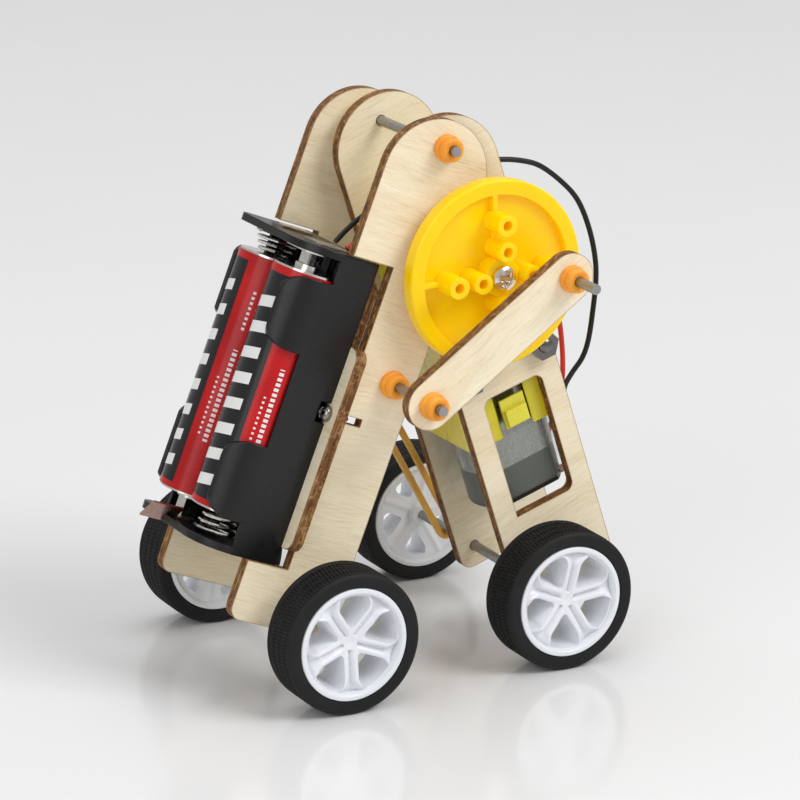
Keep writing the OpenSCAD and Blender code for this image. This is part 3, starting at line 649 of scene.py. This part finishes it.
def tyre(name, body):
    """Smooth side walls with a round shoulder, and rows of fine cross ribs between grooves on the crown."""
    low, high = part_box(name)
    centre = (low + high) / 2
    half = TYRE_W / 2
    side = [(RIM_R, -half + 0.5), (RIM_R + 0.3, -half + 0.1), (RIM_R + 0.8, -half), (TYRE_R - SHOULDER_R, -half),
            *arc(TYRE_R - SHOULDER_R, -half + SHOULDER_R, SHOULDER_R, -90, -12, 5)]
    crown = {len(side) - 1, len(side)}
    tread = [(TYRE_R, -half + SHOULDER_R + TREAD_STEP * k) for k in range(1, TREAD_ROWS)]
    profile = side + tread + [(r, -h) for r, h in reversed(side)]
    rows = {len(side) + k: k for k in range(len(tread))}
    bm = bmesh.new()
    axis = frame_at(centre, (0, 1, 0))
    lathe(bm, scaled(profile), axis, TREAD_SEGMENTS)
    back = axis.inverted()
    for k, vert in enumerate(list(bm.verts)):
        ring, step = divmod(k, TREAD_SEGMENTS)
        if ring in rows:
            row = rows[ring]
            notched = (step + 2 * (row // 4)) % 4 < 2
            deep = TREAD_DEPTH if row % 4 == 0 else 0.7 * TREAD_DEPTH * notched
        elif ring in crown and step % 4 < 2:
            deep = 0.5 * TREAD_DEPTH
        else:
            continue
        local = back @ vert.co
        shrink = 1 - deep * MM / math.hypot(local.x, local.y)
        vert.co = axis @ Vector((local.x * shrink, local.y * shrink, local.z))
    make(name + "_rubber", bm, tyre_black, body, [name], angle=25)


for axle in ("front", "rear"):
    for side in ("near", "far"):
        tyre(f"{axle}_tyre_{side}", f"{axle}_wheels")


def window(centre_turn):
    """Corner-rounded outline of one rim window, in millimetres from the wheel's centre."""
    half = SPOKE_TURN / 2
    gap = 1.5
    edge = Vector((math.cos(half), math.sin(half)))
    inward = Vector((math.sin(half), -math.cos(half)))
    tip = Vector((gap / math.sin(half), 0))
    shoulder = 7.9 * edge + gap * inward
    heel = 9.75 * Vector((math.cos(math.radians(20)), math.sin(math.radians(20))))
    corners = [tip, shoulder, heel, Vector((STAR_R, 0)), Vector((heel.x, -heel.y)), Vector((shoulder.x, -shoulder.y))]
    rounding = [1.3, 0.9, 0.7, 1.5, 0.7, 0.9]
    outline = []
    for k, (corner, reach) in enumerate(zip(corners, rounding)):
        before = (corners[k - 1] - corner).normalized() * reach
        after = (corners[(k + 1) % 6] - corner).normalized() * reach
        for t in (0, 0.25, 0.5, 0.75, 1):
            outline.append(corner + (1 - t) ** 2 * before + t**2 * after)
    turn = Matrix.Rotation(centre_turn, 2)
    return [turn @ point for point in outline]


def spoke_angle(x, y, first_groove):
    """Angle from the middle line of the nearest spoke."""
    turn = (math.atan2(y, x) - first_groove) % SPOKE_TURN
    return min(turn, SPOKE_TURN - turn)


def star_height(x, y, first_groove):
    """Height of the spoke face below the rim's lip, in millimetres."""
    r = math.hypot(x, y)
    off = r * math.sin(spoke_angle(x, y, first_groove))
    dish = -0.55 - 1.7 * max(0.0, 1 - r / 9.6) ** 1.3
    width = 0.34 + 0.04 * r + max(0.0, r - 7.7) * 0.75
    groove = max(0.0, 1 - (off / width) ** 2) if r > 1.3 else 0.0
    ridge = max(0.0, 1 - abs(off - width - 0.45) / 0.75)
    height = dish - (0.55 + 0.05 * r) * groove + 0.28 * ridge
    height -= 0.35 * min(1.0, max(0.0, r - 9.3) / 0.5)
    if r < 1.5:
        height = dish + 0.25
    return height


def is_inside(outline, x, y):
    inside = False
    for a, b in zip(outline, outline[1:] + outline[:1]):
        if (a.y > y) != (b.y > y) and x < (b.x - a.x) * (y - a.y) / (b.y - a.y) + a.x:
            inside = not inside
    return inside


def rim(name, body, face, first_groove):
    """Five-spoke star inside a barrel with a lip; face is the way the star looks along Y."""
    low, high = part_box(name)
    centre = (low + high) / 2
    place = frame_at(centre, (0, face, 0), (1, 0, 0))
    sense = 1 if face > 0 else -1
    first = -sense * math.radians(first_groove)
    half = (high.y - low.y) / 2 / MM
    windows = [window(first + SPOKE_TURN * (k + 0.5)) for k in range(SPOKES)]
    points, edges = [], []
    for outline in windows:
        start = len(points)
        points += outline
        edges += [(start + k, start + (k + 1) % len(outline)) for k in range(len(outline))]
    holes = len(points)
    for k in range(1, 29):
        r = 0.362 * k
        count = max(6, int(2 * math.pi * r / 0.38))
        for m in range(count):
            a = first + 2 * math.pi * (m + 0.5 * (k % 2)) / count
            points.append(Vector((r * math.cos(a), r * math.sin(a))))
    points.append(Vector((0, 0)))
    flat, _, faces, _, _, _ = delaunay_2d_cdt(points, edges, [], 0, 0.0001)
    kept = []
    for triangle in faces:
        x = sum(flat[v].x for v in triangle) / 3
        y = sum(flat[v].y for v in triangle) / 3
        if not any(is_inside(outline, x, y) for outline in windows):
            kept.append(list(triangle))
    centres = [sum(outline, Vector((0, 0))) / len(outline) for outline in windows]
    bm = bmesh.new()
    front, back = [], []
    for k, point in enumerate(flat):
        x, y = point
        r = math.hypot(x, y)
        front.append(bm.verts.new(place @ Vector((x * MM, y * MM, (half + star_height(x, y, first)) * MM))))
        if k < holes:
            near = min(centres, key=lambda c: (c - point).length)
            x, y = near + 0.74 * (point - near)
        crease = max(0.0, 1 - r * math.sin(spoke_angle(x, y, first)) / 0.9)
        depth = 2 * half - 1.1 - 1.5 * max(0.0, 1 - r / 9.5) ** 0.7 + 0.35 * crease
        if r < 2.3:
            depth = 2 * half - 0.6
        back.append(bm.verts.new(place @ Vector((x * MM, y * MM, (half - depth) * MM))))
    uses = {}
    for triangle in kept:
        bm.faces.new([front[v] for v in triangle])
        bm.faces.new([back[v] for v in reversed(triangle)])
        for a, b in zip(triangle, triangle[1:] + triangle[:1]):
            uses.setdefault(frozenset((a, b)), []).append((a, b))
    for pairs in uses.values():
        if len(pairs) == 1:
            a, b = pairs[0]
            bm.faces.new([front[b], front[a], back[a], back[b]])
    for vert in [v for v in bm.verts if not v.link_faces]:
        bm.verts.remove(vert)
    corner = 0.25
    lip = [(BARREL_R, half - 1.0), (BARREL_R + 0.25, half - 0.35),
           *arc(BARREL_R + 0.65, half - 0.3, 0.3, 180, 90, 3)]
    outside = [*arc(RIM_R - corner, half - corner, corner, 90, 0, 3),
               *arc(RIM_R - corner, corner - half, corner, 0, -90, 3)]
    foot = [(BARREL_R + 0.7, -half), (BARREL_R + 0.3, 0.4 - half), (BARREL_R, 1.6 - half)]
    barrel = lip + outside + foot
    lathe(bm, scaled(barrel), place, 120)
    make(name + "_star", bm, white_abs, body, [name], angle=42)


# The way each star faces along Y, and the angle of its first spoke in degrees
STARS = {
    "front_rim_near": (-1, -19.2),
    "front_rim_far": (1, 40),
    "rear_rim_near": (-1, 10.9),
    "rear_rim_far": (1, 10),
}
for name, (face, groove) in STARS.items():
    rim(name, name.split("_")[0] + "_wheels", face, groove)

# ---- floor ----
floor = Nodes("floor_white")
patches = floor.span(floor.noise(floor.place, 3, 2), 0.3, 0.7)
floor.set(Base_Color=floor.mix(patches, (0.79, 0.79, 0.795), (0.81, 0.81, 0.815)))
floor.set(Roughness=floor.span(floor.noise(floor.place, 40, 4), 0.3, 0.7, 0.13, 0.18))
bm = bmesh.new()
bmesh.ops.create_grid(bm, x_segments=4, y_segments=4, size=4)
bmesh.ops.translate(bm, verts=bm.verts, vec=(0, 0, -0.00002))
make("floor", bm, floor.material)
